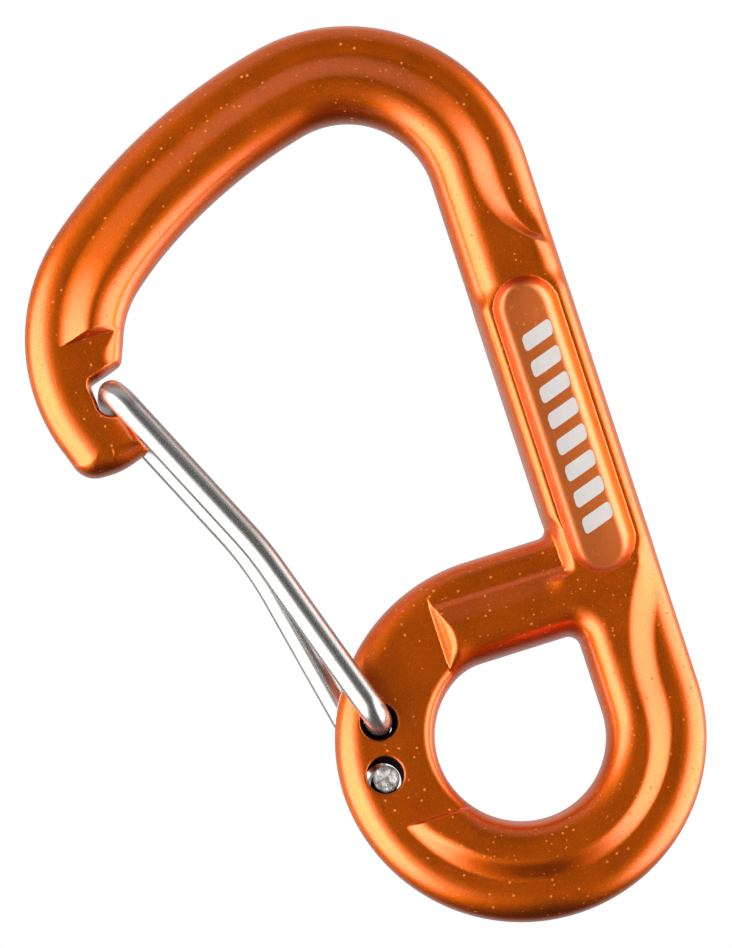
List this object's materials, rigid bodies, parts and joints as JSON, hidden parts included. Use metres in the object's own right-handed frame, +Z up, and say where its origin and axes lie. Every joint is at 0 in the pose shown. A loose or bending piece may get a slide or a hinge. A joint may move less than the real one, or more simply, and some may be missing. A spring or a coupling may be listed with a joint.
{
  "type": "wire-gate accessory carabiner",
  "caption": "Small forged accessory carabiner: hooked bar with a raised rib, closed round eye at the foot, label recess in the spine, and an inward-opening sprung wire gate.",
  "frame": {"origin": "centre of the closed eye, at half the thickness of the forging", "axes": "+Z up along the straight spine towards the top bend, +X from the eye towards the spine, -Y out of the front face"},
  "size_m": [0.0468, 0.0102, 0.08],
  "materials": {
    "anodised_aluminium": "satin orange anodising over a forged and tumbled surface",
    "stainless_wire": "bright drawn wire",
    "label_print": "thin white pad-printed ink in the spine recess"
  },
  "bodies": {
    "hook": {"forged_body": "anodised_aluminium"},
    "gate_front": {"gate_wire_front": "stainless_wire"},
    "gate_back": {"gate_wire_back": "stainless_wire"}
  },
  "joints": [
    {"name": "gate_hinge", "type": "hinge", "parent": "hook", "child": "gate_front", "pos_m": [-0.01136, 0, 0.00459], "axis": [0, 1, 0], "range_deg": [0, 49], "stiffness_Nm_per_rad": 0.12, "springref_deg": -12.03},
    {"name": "gate_twist", "type": "hinge", "parent": "gate_front", "child": "gate_back", "pos_m": [-0.0245, 0, 0.0386], "axis": [0, 1, 0], "range_deg": [-6, 0.5]}
  ],
  "couplings": [
    {"joint": "gate_twist", "follows": "gate_hinge", "ratio": -0.11}
  ]
}
